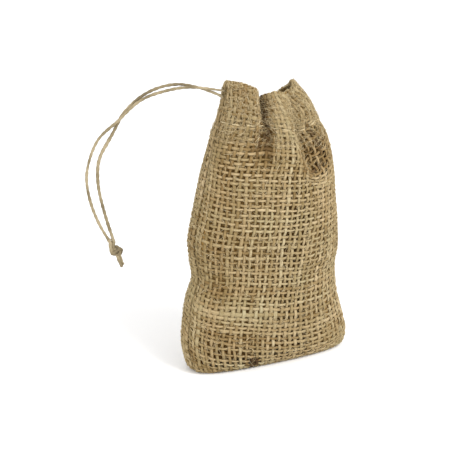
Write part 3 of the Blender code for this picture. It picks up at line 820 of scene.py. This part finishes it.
upper, upper_route = make_strand("drawstring_strand_upper", "drawstring_upper", UPPER_RUN, 3, 0.35)
lower, lower_route = make_strand("drawstring_strand_lower", "drawstring_lower", LOWER_RUN, 4, 0.15)
knot = make_knot()

# ---- the cloth

front, back = Face(1), Face(-1)

# Where the cloth is closer or more open: how much wider its threads are there
Patch = namedtuple("Patch", "share height half_share half_height change")
WIDER = table(
    Patch,
    (0.5, 122, 0.6, 17, 0.12),  # the casing, matted by its folds and stitching
    (0.12, 96, 0.11, 12, 0.12),
    (0.7, 60, 0.1, 34, 0.12),
    (0.55, 18, 0.22, 9, 0.08),
    (0.34, 97, 0.12, 7, 0.08),
    (0.75, 94, 0.12, 8, -0.1),  # open in the pocket
    (0.6, 103, 0.05, 4, 0.2),
    (0.18, 12, 0.14, 11, -0.08),
    (0.4, 62, 0.2, 24, -0.05),
    (0.22, 25, 0.3, 3.2, 0.32),  # round the thick row
    (0.74, 14, 0.16, 12, 0.18),
    (0.82, 52, 0.09, 40, 0.08),
)
BACK_WIDER = WIDER[:1]  # the back isn't seen, and has no patches but the casing's
# Where it is darker or paler: a stain and small spots, painted shade where the form turns from the
# light, and a painted highlight
TONES = table(
    Patch,
    (0.325, 3.2, 0.023, 2, -1.7),  # the stain at the bottom
    (0.325, 29.9, 0.03, 2, -0.22),
    (0.01, 4, 0.035, 3, -0.3),
    (0.36, 44.8, 0.022, 1.8, -0.16),
    (0.46, 80, 0.025, 1.6, -0.14),
    # painted shade on the left side, which is turned from the light
    (0.08, 60, 0.12, 70, -0.14),  # darker towards the left seam
    # painted shade in the valley under the left lobe, these three rows
    (0.375, 107, 0.064, 12, -0.38),  # the shaded valley
    (0.415, 117, 0.05, 7, -0.34),
    (0.345, 98, 0.105, 8, -0.26),
    (0.22, 25, 0.3, 3, 0.17),  # the pale thick row
    # painted shade in the pocket, along its lower border and beside its ridge, these four rows
    (0.76, 96, 0.12, 10, -0.25),  # the pocket
    (0.6, 91, 0.03, 5, -0.22),  # the shade along its lower border
    (0.72, 85.5, 0.1, 2.2, -0.22),
    (0.6, 103, 0.05, 4, -0.12),
    # a painted highlight along the crest of the ridge
    (0.56, 96, 0.02, 9, 0.1),  # the ridge beside it
)
# The thick row: a place on it, its right end and fade, how much thicker and further out it is
THICK_SHARE, THICK_HEIGHT, THICK_END, THICK_FADE = 0.315, 24.6, 0.56, 0.12
THICK_SWELL, THICK_OUT, THICK_TINT = 0.40, 0.2, 0.1
SEAM_TONE, SEAM_TONE_REACH = -0.02, 0.018
UP_SIZE, ACROSS_SIZE = 1.03, 0.88  # the threads across are finer than those that run up
CROWDING = 0.46  # of the space between threads, the most that one takes up to each side
LEAST_WIDE = 0.22  # half the width that a crowded thread keeps
WIDE_LIMITS, FLAT_LIMITS, FLAT_POWER = (0.6, 2.2), (0.7, 2.0), 0.6
HEM_WIDER = 0.10
THREAD_WIDTHS = table(Ripple, (0.13, 0, 1), (0.15, (1, 11), 2), (0.13, (1, 3), 10))
THREAD_TONES = table(Ripple, (0.12, 0, 3), (0.13, (1, 19), 4), (0.08, (5, 25), 12))
THREAD_TINTS = table(Ripple, (0.24, 0, 13))
UP_DRIFT = table(Ripple, (0.15, (1, 22), 0), (0.07, (1, 7), 14))
ACROSS_DRIFT = table(Ripple, (0.14, (1, 22), 5), (0.07, (1, 7), 15))
# The dark patches, stains and painted shade alike, are also made pinker; in the shade this is
# painted warm shade.
HUE_TINT, STAIN_AND_SHADE_TINT = 0.22, 1.3  # how much the tint follows the face's hue and the dark patches
# Thicker places of single threads: their length, from where in the noise, and what they add
SLUB_STEPS, SLUB_START, SLUB_FULL, SLUB_SWELL, SLUB_TONE = (1, 17), 0.80, 0.97, 0.45, 0.06
NEAR_RIM, RIM_REACH = 3.0, 0.05  # rows this near to the rim go this share into the allowance
CLOTH_START = 0.2  # of each face, from the bottom's middle line


def patched(patches, share, height):
    """The sum of the patches' changes at places on a face."""
    total = np.zeros(np.broadcast(share, height).shape)
    for patch in patches:
        x = (share - patch.share) / patch.half_share
        y = (height - patch.height) / patch.half_height
        total += patch.change * np.exp(-(x**2) - y**2)
    return total


def add_threads(face, mesh, share, along, out, seed, size, wide_more):
    """A set of threads of one direction, through places on the cloth."""
    shape = share.shape
    centres, normals = face.place(share, along, out)
    near, far = face.laid(*face.swirled(share, along))
    height = np.interp(far, face.wall, face.heights)
    inner = along > face.rim
    closer, darker = (WIDER, TONES) if face.side > 0 else (BACK_WIDER, ())
    wider = patched(closer, near, height) * ~inner + HEM_WIDER * inner
    slubs = blend(SLUB_START, SLUB_FULL, noise(shape, SLUB_STEPS, seed + 11))
    uneven = rippled(1.0, THREAD_WIDTHS, shape, seed) + wide_more + SLUB_SWELL * slubs
    # the patches' tone: the stains, and the painted shade and painted highlight of the table above
    stains_and_painted_shade = patched(darker, near, height) * ~inner
    tone = rippled(0.5, THREAD_TONES, shape, seed) + stains_and_painted_shade + SLUB_TONE * slubs
    tone = tone + SEAM_TONE * bell(near / SEAM_TONE_REACH) * ~inner
    tint = rippled(0.5, THREAD_TINTS, shape, seed) + THICK_TINT * (wide_more > 0.1)
    tint = tint - HUE_TINT * face.sample(face.hue, near, height)[..., 0] - STAIN_AND_SHADE_TINT * stains_and_painted_shade
    gaps = np.linalg.norm(np.diff(centres, axis=0), axis=2)
    gaps = np.minimum(np.concatenate((gaps[:1], gaps)), np.concatenate((gaps, gaps[-1:])))
    room = np.clip(CROWDING * gaps, LEAST_WIDE, None) * (1.0 + wide_more)
    wide = size * np.minimum(THREAD_WIDE * np.clip(uneven + wider, *WIDE_LIMITS), room)
    thick = THREAD_THICK * np.clip(uneven, *FLAT_LIMITS) ** FLAT_POWER
    mesh.tubes(centres, normals, wide, thick, tone, tint)


def weave(face, name, low, high, seed):
    """The threads of one face between two lengths along the cloth, both ways."""
    mesh = Mesh(name)
    low_row, high_row = face.row_at(low), face.row_at(high)
    # threads that run up the cloth
    count = round((high_row - low_row) * PER_CROSSING) + 1
    row = np.linspace(low_row, high_row, count)
    along = np.broadcast_to(face.along_row(row), (WARPS, count))
    number = np.arange(WARPS)[:, None]
    drift = rippled(0.0, UP_DRIFT, (WARPS, count), seed)
    drift = drift * (1.0 - CALM * face.in_pocket((number + 0.5) / WARPS, along))
    share = (number + 0.5 + drift) / WARPS
    out = CRIMP * np.cos(math.pi * (row - 0.5 - number))
    add_threads(face, mesh, share, along, out, seed, UP_SIZE, 0.0)
    # threads that run across it
    rows = np.arange(math.ceil(low_row - 0.5), math.floor(high_row - 0.5) + 1)[:, None]
    beyond = SEAM_ALLOWANCE / face.middle_width
    count = round(WARPS * (1 + 2 * beyond) * PER_CROSSING) + 1
    near_rim = np.abs(face.along_row(rows + 0.5) - face.rim) < NEAR_RIM
    reach = beyond * np.where(near_rim, RIM_REACH, 1.0)
    run = np.linspace(0.0, 1.0, count)[None]
    share = -reach + run * (1.0 + 2.0 * reach)
    drift = rippled(0.0, ACROSS_DRIFT, (len(rows), count), seed)
    drift = drift * (1.0 - CALM * face.in_pocket(share, face.along_row(rows + 0.5)))
    along = face.along_row(rows + 0.5 + drift)
    out = -CRIMP * np.cos(math.pi * (share * WARPS - 0.5 - rows))
    _, lies = face.laid(np.full(len(rows), THICK_SHARE), face.along_row(rows[:, 0] + 0.5))
    gap = np.abs(np.interp(lies, face.wall, face.heights) - THICK_HEIGHT)
    thick_row = rows[np.argmin(gap), 0] if face.side > 0 and low < THICK_HEIGHT else -1
    fade = 1.0 - blend(THICK_END - THICK_FADE, THICK_END, share)
    swell = THICK_SWELL * (rows == thick_row) * fade
    add_threads(face, mesh, share, along, out + THICK_OUT * swell, seed + 50, ACROSS_SIZE, swell)
    return mesh.build(cloth_material)


cloth_front = weave(front, "cloth_front", CLOTH_START, front.rim, 100)
cloth_back = weave(back, "cloth_back", CLOTH_START, back.rim, 200)
hem_front = weave(front, "turned_in_front", front.rim, front.length, 300)
hem_back = weave(back, "turned_in_back", back.rim, back.length, 400)
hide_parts("sack")

STITCH_LENGTH, STITCH_GAP = 3.4, 1.7  # of the sewing thread that shows, and between
STITCH_START, STITCH_POINTS, STITCH_WANDER = 0.2, 9, 0.35
STITCH_ARCH, STITCH_SUNK = 0.62, 0.15  # how far a stitch rises from where its ends go in
SEWING_RADIUS, SEWING_TONE, SEWING_TINT = 0.21, 0.80, 0.4


def sew(name):
    """The running stitch that holds the casing down, right round the sack."""
    mesh = Mesh(name)
    for face in (front, back):
        width = np.interp(STITCH_HEIGHT, face.heights, face.width)
        count = int(width / (STITCH_LENGTH + STITCH_GAP))
        start = (np.arange(count)[:, None] + STITCH_START) / count
        run = np.linspace(0.0, 1.0, STITCH_POINTS)[None]
        share = start + run * STITCH_LENGTH / width
        wander = STITCH_WANDER * noise((count, 1), 1, 70 + face.side)
        places = np.broadcast_to(face.up_to(STITCH_HEIGHT) + wander, share.shape)
        arch = STITCH_ARCH * np.clip(np.sin(math.pi * run), 0.0, 1.0) ** 0.5 - STITCH_SUNK
        centres, normals = face.place(share, places, arch)
        size = np.full(share.shape, SEWING_RADIUS)
        mesh.tubes(centres, normals, size, size, SEWING_TONE, SEWING_TINT, number=face.side)
    return mesh.build(fibre_material)


HAIR_POINTS, HAIR_SIDES, HAIR_BEND = 7, 3, 1.6
HAIR_OUT, HAIR_RADIUS, HAIR_TONE = (0.30, 0.55), (0.04, 0.085), (0.40, 0.95)
HAIR_SHORTEST, CASING_HAIRS_LOW = 1.5, 95.0


def add_hairs(mesh, face, seed, low, high, count, longest, lift):
    """Loose fibres that lie on the cloth and curl away from it, by lift at the most."""
    source = np.random.default_rng(seed)

    def draw(least, most):
        return source.uniform(least, most, (count, 1))

    share, along = draw(0.01, 0.99), draw(low, high)
    length = draw(HAIR_SHORTEST, longest)
    heading, bend = draw(0.0, math.tau), draw(-HAIR_BEND, HAIR_BEND)
    run = np.linspace(-0.5, 0.5, HAIR_POINTS)[None]
    angle = heading + bend * run
    x, y = (np.cumsum(turn(angle), axis=1) * length / HAIR_POINTS for turn in (np.cos, np.sin))
    middle = slice(HAIR_POINTS // 2, HAIR_POINTS // 2 + 1)
    curl = lift * draw(0.0, 1.0) ** 3
    raised = draw(*HAIR_OUT) + curl * (run + 0.5) ** 2
    width = np.interp(along, face.wall, face.width)
    shares = np.clip(share + (x - x[:, middle]) / width, 0.0, 1.0)
    places = np.clip(along + y - y[:, middle], low, high)
    centres, normals = face.place(shares, places, raised)
    size, tone = draw(*HAIR_RADIUS), draw(*HAIR_TONE)
    mesh.tubes(centres, normals, size, size, tone, 0.5, sides=HAIR_SIDES)


def make_hairs(name, face, seed):
    """All of the loose fibres of one face."""
    mesh = Mesh(name)
    low, casing, top = face.base + 1.0, face.up_to(CASING_HAIRS_LOW), face.wall[-1]
    add_hairs(mesh, face, seed, low, top, count=2000, longest=5.0, lift=0.45)
    add_hairs(mesh, face, seed + 1, casing, top + 1.0, count=1200, longest=4.0, lift=1.0)
    return mesh.build(fibre_material)


# The nap: a skin of matted fibres behind the weave that closes the holes; its dark colour is
# painted shade.
NAP_OUT = -0.52  # from the cloth's middle to the matted fibres behind it
NAP_ROWS, NAP_COLUMNS = 220, 170
NAP_SLOPE = 0.08  # share of the face over which a sloped one comes up to the cloth
NAP_RIM, NAP_RIM_BELOW, NAP_RIM_ABOVE = 0.32, 0.5, 0.4  # nearer to the outside at the rim
NAP_BUMPS = table(Ripple, (0.10, 2, 0), (0.06, 1, 1))
NAP_TONE, NAP_TONES = 0.45, table(Ripple, (0.25, 3, 2), (0.2, 9, 3))
NAP_CASING, NAP_LOW_TOP = 107.0, 78.0  # the height that one starts at, and the other ends at


def make_nap(name, face, seed, left=0.002, right=0.998, low=0.4, top=None, sloped=0.0):
    """A dark skin behind a face, from left to right and low to top: matted fibres, coloured as
    painted shade in the holes.
    """
    top = top or face.wall[-1]
    columns = int(NAP_COLUMNS * (right - left)) + 2
    share = np.linspace(left, right, columns)[None]
    along = np.linspace(low, top, int(NAP_ROWS * (top - low) / face.wall[-1]) + 2)[:, None]
    share, along = np.broadcast_arrays(share, along)
    bumps = rippled(0.0, NAP_BUMPS, share.shape, seed)
    deep = sloped * np.clip((left + NAP_SLOPE - share) / NAP_SLOPE, 0.0, 1.0)
    near_rim = blend(face.wall[-1] - NAP_RIM_BELOW, face.wall[-1] + NAP_RIM_ABOVE, along)
    points, _ = face.place(share, along, NAP_OUT + bumps - (deep - NAP_RIM * near_rim))
    mesh = Mesh(name)
    mesh.skin(points, rippled(NAP_TONE, NAP_TONES, share.shape, seed), 0.5)
    return mesh.build(nap_shade_material)


nap_back = make_nap("matted_fibres_painted_shade_back", back, 600)
nap_left = make_nap("matted_fibres_painted_shade_left", front, 610, right=0.07)
nap_right = make_nap("matted_fibres_painted_shade_right", front, 620, left=0.84)
low_top = front.up_to(NAP_LOW_TOP)
nap_low = make_nap("matted_fibres_painted_shade_low", front, 640, left=0.68, right=0.84, top=low_top, sloped=2.5)
nap_casing, nap_casing_back = (
    make_nap("matted_fibres_painted_shade_casing" + end, face, seed, low=face.up_to(NAP_CASING), top=face.rim)
    for end, face, seed in (("", front, 630), ("_back", back, 660))
)
stitches = sew("casing_stitches")
hairs_front = make_hairs("loose_fibres_front", front, 500)
hairs_back = make_hairs("loose_fibres_back", back, 510)

# ---- floor and light

FLOOR_GREY, ROOM_LIGHT = 0.93, 1.1


def make_stage():
    """A pale plain floor and soft light from the front right and above."""
    data = bpy.data.meshes.new("floor")
    half = 3.0
    corners = [(-half, -half, 0), (half, -half, 0), (half, half, 0), (-half, half, 0)]
    data.from_pydata(corners, [], [(0, 1, 2, 3)])
    floor = put("floor", data)
    material = bpy.data.materials.new("pale_floor")
    material.use_nodes = True
    shader = material.node_tree.nodes["Principled BSDF"]
    shader.inputs["Base Color"].default_value = (FLOOR_GREY, FLOOR_GREY, FLOOR_GREY, 1.0)
    shader.inputs["Roughness"].default_value = 0.9
    data.materials.append(material)
    world = bpy.data.worlds.new("pale_room")
    bpy.context.scene.world = world
    world.use_nodes = True
    room = world.node_tree.nodes["Background"]
    room.inputs["Color"].default_value = (1.0, 1.0, 1.0, 1.0)
    room.inputs["Strength"].default_value = ROOM_LIGHT
    for name, place, size, power in (
        ("key", (0.35, -0.75, 0.95), 0.5, 9.5),
        ("fill", (-0.9, -0.6, 0.5), 0.7, 2.2),
    ):
        lamp = bpy.data.lights.new(name, "AREA")
        lamp.size, lamp.energy = size, power
        item = put(name, lamp)
        item.location = place
        item.rotation_euler = looking(Vector(place), Vector(TARGET))
    bpy.context.scene.view_settings.view_transform = "Standard"


make_stage()
